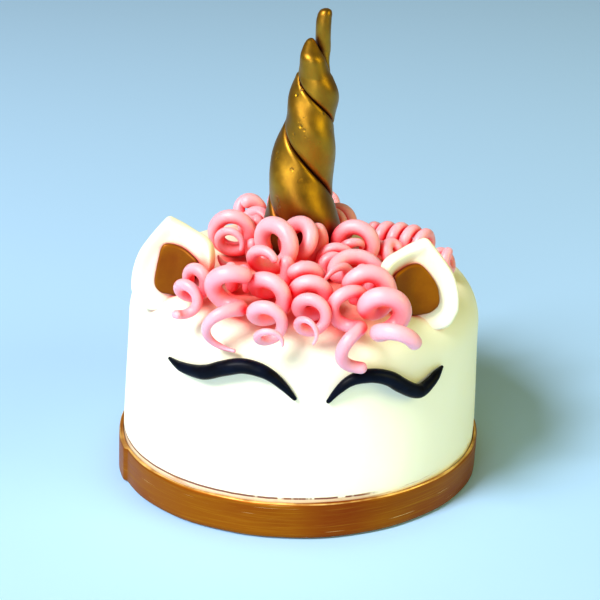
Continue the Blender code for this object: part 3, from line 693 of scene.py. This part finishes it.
class Nodes:
    """Short ways to add shader nodes to one material."""

    def __init__(self, name):
        self.look = bpy.data.materials.new(name)
        self.look.use_nodes = True
        self.tree = self.look.node_tree
        self.shader = self.tree.nodes["Principled BSDF"]
        self.place = self.tree.nodes.new("ShaderNodeTexCoord").outputs["Object"]

    def link(self, source, target):
        """Feed one socket into another."""
        self.tree.links.new(source, target)

    def set(self, **values):
        """Constant values of the shader, by socket name with _ for a space."""
        for name, value in values.items():
            self.shader.inputs[name.replace("_", " ")].default_value = value

    def stretched(self, scale, place=None):
        """Coordinates scaled apart along each axis."""
        made = self.tree.nodes.new("ShaderNodeMapping")
        made.inputs["Scale"].default_value = scale
        self.link(place or self.place, made.inputs["Vector"])
        return made.outputs["Vector"]

    def noise(self, scale, detail=3.0, place=None, roughness=0.5):
        """Cloudy value from 0 to 1."""
        made = self.tree.nodes.new("ShaderNodeTexNoise")
        made.inputs["Scale"].default_value = scale
        made.inputs["Detail"].default_value = detail
        made.inputs["Roughness"].default_value = roughness
        self.link(place or self.place, made.inputs["Vector"])
        return made.outputs["Fac"]

    def spots(self, scale, place=None):
        """Distance from the nearest of many scattered points."""
        made = self.tree.nodes.new("ShaderNodeTexVoronoi")
        made.inputs["Scale"].default_value = scale
        self.link(place or self.place, made.inputs["Vector"])
        return made.outputs["Distance"]

    def ramp(self, source, low, high, start=0.0, end=1.0):
        """Colour or value that goes from low to high as source goes from start to end."""
        made = self.tree.nodes.new("ShaderNodeValToRGB")
        for element, place, value in zip(made.color_ramp.elements, (start, end), (low, high)):
            element.position = place
            element.color = (*value, 1.0) if hasattr(value, "__len__") else (value,) * 3 + (1.0,)
        self.link(source, made.inputs["Fac"])
        return made.outputs["Color"]

    def mix(self, share, a, b):
        """Colour a with a share of colour b laid over it."""
        made = self.tree.nodes.new("ShaderNodeMix")
        made.data_type = "RGBA"
        for socket, value in ((made.inputs[0], share), (made.inputs[6], a), (made.inputs[7], b)):
            if isinstance(value, bpy.types.NodeSocket):
                self.link(value, socket)
            elif hasattr(value, "__len__"):
                socket.default_value = (*value, 1.0)
            else:
                socket.default_value = value
        return made.outputs[2]

    def math(self, kind, a, b=0.0):
        """One step of arithmetic on values or sockets."""
        made = self.tree.nodes.new("ShaderNodeMath")
        made.operation = kind
        for socket, value in zip(made.inputs, (a, b)):
            if isinstance(value, bpy.types.NodeSocket):
                self.link(value, socket)
            else:
                socket.default_value = value
        return made.outputs[0]

    def bump(self, height, strength, distance, under=None):
        """Fine relief, on top of the relief under it."""
        made = self.tree.nodes.new("ShaderNodeBump")
        made.inputs["Strength"].default_value = strength
        made.inputs["Distance"].default_value = distance
        self.link(height, made.inputs["Height"])
        if under is not None:
            self.link(under, made.inputs["Normal"])
        self.link(made.outputs["Normal"], self.shader.inputs["Normal"])
        return made.outputs["Normal"]

    def hollows(self, reach):
        """Near 0 in hollows and where pieces meet, 1 in the open."""
        made = self.tree.nodes.new("ShaderNodeAmbientOcclusion")
        made.samples = 6
        made.inputs["Distance"].default_value = reach
        return made.outputs["AO"]

    def xyz(self):
        """The place's x, y and z in metres."""
        made = self.tree.nodes.new("ShaderNodeSeparateXYZ")
        self.link(self.place, made.inputs[0])
        return made.outputs

    def angle(self):
        """Angle round the cake, 0 at the middle of the face and more to the viewer's right."""
        x, y, _ = self.xyz()
        return self.math("ARCTAN2", x, self.math("MULTIPLY", y, -1.0))

    def level(self):
        """Height in centimetres on the cake before it leans, where the band's top is level."""
        x, _, z = self.xyz()
        tilt = self.math("MULTIPLY", self.math("MULTIPLY", x, z), TOP_TILT / (CAKE_HEIGHT * MM))
        return self.math("MULTIPLY", self.math("ADD", z, tilt), 100.0)

    def around(self, radius):
        """Coordinates that run round the cake: length round it, none, height."""
        made = self.tree.nodes.new("ShaderNodeCombineXYZ")
        self.link(self.math("MULTIPLY", self.angle(), radius), made.inputs[0])
        self.link(self.xyz()[2], made.inputs[2])
        return made.outputs[0]

    def window(self, source, start, end, soft):
        """1 where source lies between start and end, falling off over soft."""
        rise = self.math("DIVIDE", self.math("SUBTRACT", source, start), soft)
        fall = self.math("DIVIDE", self.math("SUBTRACT", end, source), soft)
        low = self.math("MINIMUM", rise, fall)
        return self.math("MINIMUM", self.math("MAXIMUM", self.math("ADD", low, 0.5), 0.0), 1.0)


def white_fondant():
    """Rolled sugar paste with painted shade in its small hollows, painted red light from the curls
    where they crowd it, a painted tan shade just above the band, and gold smudged above the band.
    """
    n = Nodes("rolled_fondant_white")
    base = n.ramp(n.noise(14.0, 3.0), *IVORY, 0.35, 0.65)
    level, angle = n.level(), n.angle()
    high = n.window(level, 8.1, 30.0, 1.0)
    # Painted shade: a brownish tint in small hollows and where pieces meet, high on the cake
    shade = n.math("MULTIPLY", high, n.ramp(n.hollows(0.005), 0.9, 0.0, 0.35, 0.92))
    base = n.mix(shade, base, IVORY_IN_SHADE)
    # Painted light: red thrown by the pink curls into the wider hollows high on the cake
    painted_curl_light = n.math("MULTIPLY", high, n.ramp(n.hollows(0.026), 1.0, 0.0, 0.28, 0.72))
    base = n.mix(painted_curl_light, base, IVORY_LIT_BY_CURLS)
    along = n.around(WALL_RADIUS_FOOT * MM)
    edge = n.noise(1.0, 3.0, n.stretched((160.0, 1.0, 1.0), along))
    wavy = n.math("ADD", level, n.math("MULTIPLY", edge, 0.04))
    left = n.window(angle, -1.6, 0.36, 0.1)
    gaps = n.math("MAXIMUM", n.window(angle, -1.7, -0.28, 0.05), n.ramp(edge, 0.0, 1.0, 0.42, 0.48))
    line = n.math("MULTIPLY", n.math("MULTIPLY", left, gaps), n.window(wavy, 1.735, 1.82, 0.02))
    # Painted shade: a tan strip on the left of the face, just above the band's top edge
    shade_above_band = n.math("MULTIPLY", n.math("MULTIPLY", left, 0.45), n.window(wavy, 1.5, 1.76, 0.03))
    base = n.mix(shade_above_band, base, TAN_SHADE_ABOVE_BAND)
    base = n.mix(n.math("MULTIPLY", line, 0.95), base, SMUDGE_RED)
    smear = n.noise(1.0, 4.0, n.stretched((60.0, 1.0, 900.0), along))
    dust = n.math("MULTIPLY", n.window(level, 1.5, 1.85, 0.10), n.ramp(smear, 0.0, 0.8, 0.56, 0.70))
    n.link(n.mix(dust, base, DUST_ON_IVORY), n.shader.inputs["Base Color"])
    rough = n.ramp(n.noise(90.0, 4.0), 0.46, 0.60, 0.3, 0.7)
    n.link(rough, n.shader.inputs["Roughness"])
    n.set(Subsurface_Weight=0.12, Subsurface_Radius=(1.0, 0.75, 0.5), Subsurface_Scale=0.004,
          Specular_IOR_Level=0.3)
    under = n.bump(n.noise(36.0, 2.0), 0.25, 0.0008)
    n.bump(n.noise(900.0, 3.0), 0.12, 0.00006, under)
    return n.look


def band_gold():
    """Gold dust brushed along the strip: redder patches, thin scratches and a painted highlight along
    its top edge.
    """
    n = Nodes("gold_brushed")
    along = n.around((WALL_RADIUS_FOOT + 3.0) * MM)
    streaks = n.noise(1.0, 5.0, n.stretched((28.0, 1.0, 1500.0), along), 0.62)
    patches = n.noise(1.0, 3.0, n.stretched((16.0, 1.0, 60.0), along))
    base = n.mix(n.ramp(patches, 0.0, 1.0, 0.42, 0.66), BAND_BROWN, BAND_RED_BROWN)
    red = n.math("MULTIPLY", n.window(n.angle(), 0.02, 0.34, 0.16), n.ramp(streaks, 0.3, 0.9, 0.4, 0.6))
    base = n.mix(red, base, BAND_RED)
    base = n.mix(n.ramp(streaks, 0.0, 0.55, 0.50, 0.80), base, BAND_STREAK)
    scratches = n.noise(1.0, 2.0, n.stretched((34.0, 1.0, 2600.0), along))
    base = n.mix(n.ramp(scratches, 0.0, 0.8, 0.70, 0.75), base, BAND_SCRATCH)
    # Painted highlight: a bright, broken line along the band's top outer edge
    highlight_breaks = n.ramp(n.noise(1.0, 3.0, n.stretched((90.0, 1.0, 90.0), along)), 0.25, 1.0, 0.35, 0.6)
    rim = n.math("MULTIPLY", n.window(n.level(), 1.575, 1.62, 0.025), highlight_breaks)
    base = n.mix(rim, base, BAND_EDGE_HIGHLIGHT)
    n.link(base, n.shader.inputs["Base Color"])
    n.link(n.ramp(streaks, 0.36, 0.54, 0.3, 0.7), n.shader.inputs["Roughness"])
    n.bump(streaks, 0.35, 0.00018)
    n.set(Metallic=0.5, Specular_IOR_Level=0.08)
    return n.look


def horn_gold():
    """Gold dust dabbed on the horn, pitted, with painted shade in its folds and a painted red
    reflection of the curls in its wider hollows.
    """
    n = Nodes("gold_horn")
    base = n.ramp(n.noise(60.0, 4.0), *HORN_GOLD, 0.35, 0.7)
    # Painted reflection: the red of the curls, where the horn is hemmed in by them
    base = n.mix(n.ramp(n.hollows(0.035), 0.9, 0.0, 0.35, 0.80), base, HORN_CURL_REFLECTION)
    # Painted shade: dark brown in the folds between the strands
    base = n.mix(n.ramp(n.hollows(0.010), 0.95, 0.0, 0.30, 0.85), base, HORN_FOLD_SHADE)
    n.link(base, n.shader.inputs["Base Color"])
    n.link(n.ramp(n.noise(300.0, 4.0), 0.34, 0.48, 0.3, 0.7), n.shader.inputs["Roughness"])
    pits = n.ramp(n.spots(300.0), 0.0, 1.0, 0.05, 0.30)
    rare = n.ramp(n.noise(80.0, 2.0), 1.0, 0.0, 0.52, 0.60)
    under = n.bump(n.math("MAXIMUM", pits, rare), 0.7, 0.0006)
    under = n.bump(n.noise(120.0, 3.0), 0.30, 0.0006, under)
    n.bump(n.noise(1500.0, 3.0), 0.16, 0.00006, under)
    n.set(Metallic=0.9, Specular_IOR_Level=0.1, Coat_Weight=0.2, Coat_Roughness=0.4)
    return n.look


def leaf_gold():
    """Gold dust on the inner ears, with painted dark red-brown shade where the curls shade it."""
    n = Nodes("gold_leaf")
    base = n.ramp(n.noise(90.0, 4.0), *LEAF_GOLD, 0.35, 0.7)
    # Painted shade, dark red-brown, where the curls crowd the leaf
    base = n.mix(n.ramp(n.hollows(0.030), 1.0, 0.0, 0.45, 0.97), base, LEAF_IN_SHADE)
    n.link(base, n.shader.inputs["Base Color"])
    n.link(n.ramp(n.noise(300.0, 4.0), 0.36, 0.52, 0.3, 0.7), n.shader.inputs["Roughness"])
    under = n.bump(n.noise(150.0, 3.0), 0.35, 0.0006)
    n.bump(n.noise(1500.0, 3.0), 0.14, 0.00006, under)
    n.set(Metallic=0.3, Specular_IOR_Level=0.1)
    return n.look


def black_fondant():
    """Near-black sugar paste with a slight gloss."""
    n = Nodes("rolled_fondant_black")
    base = n.ramp(n.noise(160.0, 3.0), *BLACK, 0.35, 0.7)
    n.link(base, n.shader.inputs["Base Color"])
    n.link(n.ramp(n.noise(260.0, 3.0), 0.30, 0.44), n.shader.inputs["Roughness"])
    n.set(Specular_IOR_Level=0.06)
    under = n.bump(n.noise(140.0, 2.0), 0.35, 0.0006)
    n.bump(n.noise(1200.0, 3.0), 0.15, 0.00008, under)
    return n.look


def pink_fondant():
    """Translucent pink sugar paste, with painted deep red shade where light gets lost between coils."""
    n = Nodes("rolled_fondant_pink")
    base = n.ramp(n.noise(45.0, 3.0), *PINK, 0.35, 0.65)
    # Painted shade: deep red in the hollows between and inside the coils
    deep_shade = n.ramp(n.hollows(0.015), 1.0, 0.0, 0.28, 0.86)
    n.link(n.mix(deep_shade, base, PINK_SHADE_BETWEEN_COILS), n.shader.inputs["Base Color"])
    n.link(n.ramp(n.noise(180.0, 4.0), 0.32, 0.45, 0.3, 0.7), n.shader.inputs["Roughness"])
    n.set(Subsurface_Weight=0.6, Subsurface_Radius=(1.0, 0.12, 0.12), Subsurface_Scale=0.008,
          Specular_IOR_Level=0.5)
    under = n.bump(n.noise(110.0, 2.0), 0.25, 0.0006)
    n.bump(n.noise(1100.0, 3.0), 0.12, 0.00006, under)
    return n.look


def pale_floor():
    """Smooth pale blue surface that shows no texture."""
    n = Nodes("pale_floor")
    n.set(Base_Color=(*PALE_BLUE, 1.0), Roughness=0.75)
    return n.look


def floor(look):
    """Plain pale floor that fills the view behind the cake."""
    mesh = bpy.data.meshes.new("floor")
    corners = [(x * FLOOR_REACH, y * FLOOR_REACH, 0.0) for x, y in ((-1, -1), (1, -1), (1, 1), (-1, 1))]
    mesh.from_pydata(corners, [], [(0, 1, 2, 3)])
    mesh.materials.append(look)
    made = bpy.data.objects.new("floor", mesh)
    bpy.context.scene.collection.objects.link(made)


def direction(azimuth, elevation):
    """Direction away from the cake; azimuth 0 is out from the face, 90 the viewer's right."""
    a, e = math.radians(azimuth), math.radians(elevation)
    return Vector((math.sin(a) * math.cos(e), -math.cos(a) * math.cos(e), math.sin(e)))


def area_light(name, azimuth, elevation, size, power, colour):
    """Soft light that shines on the cake's top from a direction round it."""
    back = direction(azimuth, elevation)
    data = bpy.data.lights.new(name, "AREA")
    data.shape = "DISK"
    data.size = size
    data.energy = power
    data.color = colour
    made = bpy.data.objects.new(name, data)
    made.location = Vector(LIGHT_AIM) + back * LIGHT_DISTANCE
    made.rotation_mode = "QUATERNION"
    made.rotation_quaternion = back.to_track_quat("Z", "Y")
    bpy.context.scene.collection.objects.link(made)


def lights():
    """A large key light on the left, a yellow fill on the right, and a dim warm world."""
    for name, light in LIGHTS.items():
        area_light(name, **light)
    world = bpy.data.worlds.new("studio")
    world.use_nodes = True
    background = world.node_tree.nodes["Background"]
    background.inputs["Color"].default_value = WORLD_COLOUR
    background.inputs["Strength"].default_value = WORLD_STRENGTH
    bpy.context.scene.world = world
    bpy.context.scene.view_settings.view_transform = "Standard"


def camera():
    """Camera that sees the cake as the photograph does, rolled a touch."""
    a = math.radians(CAMERA_AZIMUTH)
    back = direction(CAMERA_AZIMUTH, CAMERA_ELEVATION)
    right = Vector((math.cos(a), math.sin(a), 0.0))
    up = back.cross(right)
    aim = right * CAMERA_AIM_RIGHT + Vector((0.0, 0.0, CAMERA_AIM_HEIGHT))
    roll = math.radians(CAMERA_ROLL)
    rolled_right = right * math.cos(roll) + up * math.sin(roll)
    rolled_up = up * math.cos(roll) - right * math.sin(roll)
    data = bpy.data.cameras.new("camera")
    data.sensor_width = CAMERA_SENSOR
    data.lens = CAMERA_LENS
    made = bpy.data.objects.new("camera", data)
    turned = Matrix((rolled_right, rolled_up, back)).transposed().to_4x4()
    made.matrix_world = Matrix.Translation((aim + back * CAMERA_DISTANCE) * MM) @ turned
    bpy.context.scene.collection.objects.link(made)
    bpy.context.scene.camera = made


white = white_fondant()
cake_body(white)
band(band_gold())
lashes(black_fondant())
ears(white, leaf_gold())
horn(horn_gold())
curls(pink_fondant())
floor(pale_floor())
lights()
camera()
